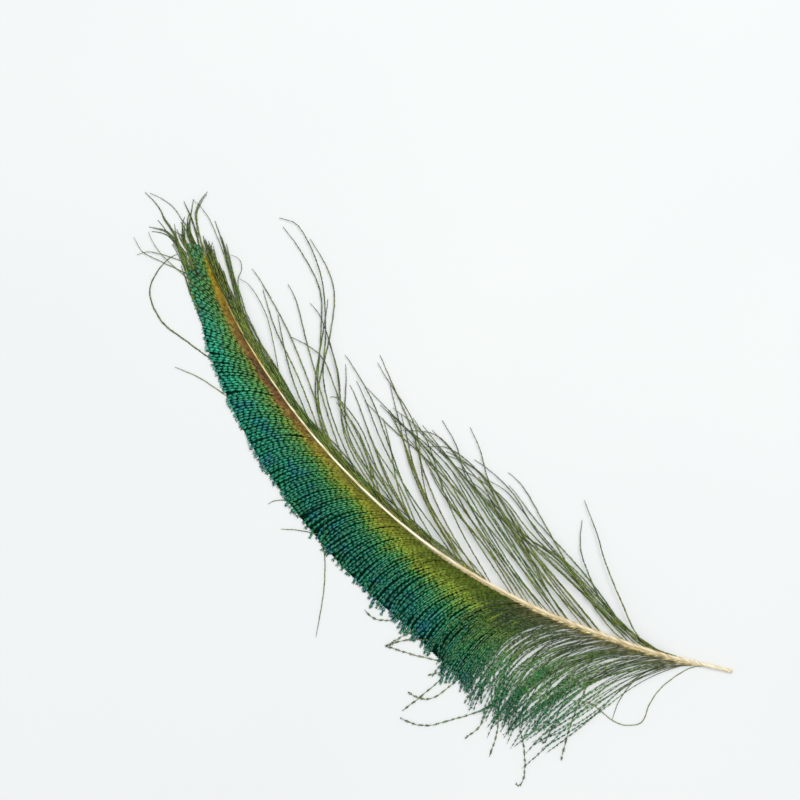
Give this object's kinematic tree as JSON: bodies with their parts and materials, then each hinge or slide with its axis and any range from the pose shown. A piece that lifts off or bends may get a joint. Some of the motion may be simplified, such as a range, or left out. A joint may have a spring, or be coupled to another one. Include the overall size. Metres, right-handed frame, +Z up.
{
  "type": "peacock sword feather",
  "caption": "Loose curved peacock sword feather with a dense iridescent green outer vane, long sparse inner herls, a wispy tip and a cut ivory quill.",
  "frame": {"origin": "middle of the feather's footprint, on the surface that it lies on", "axes": "+X along the chord from the quill to the tip, +Y towards the dense outer vane, +Z up"},
  "size_m": [0.3794, 0.1466, 0.004],
  "materials": {
    "horn": "satin ivory horn, tan towards the quill and golden near the tip",
    "iridescent_barbs": "close barbs, iridescent teal and green at the edge, olive gold to copper brown beside the shaft",
    "loose_barbs": "loose grey-green barbs, darker and teal at their tips",
    "herls": "loose olive to dark green herls with a slight sheen"
  },
  "bodies": {
    "root": {"shaft": "horn", "outer_vane": "iridescent_barbs", "base_barbs": "loose_barbs", "inner_herls": "herls", "tip_tuft": "herls"}
  },
  "joints": []
}
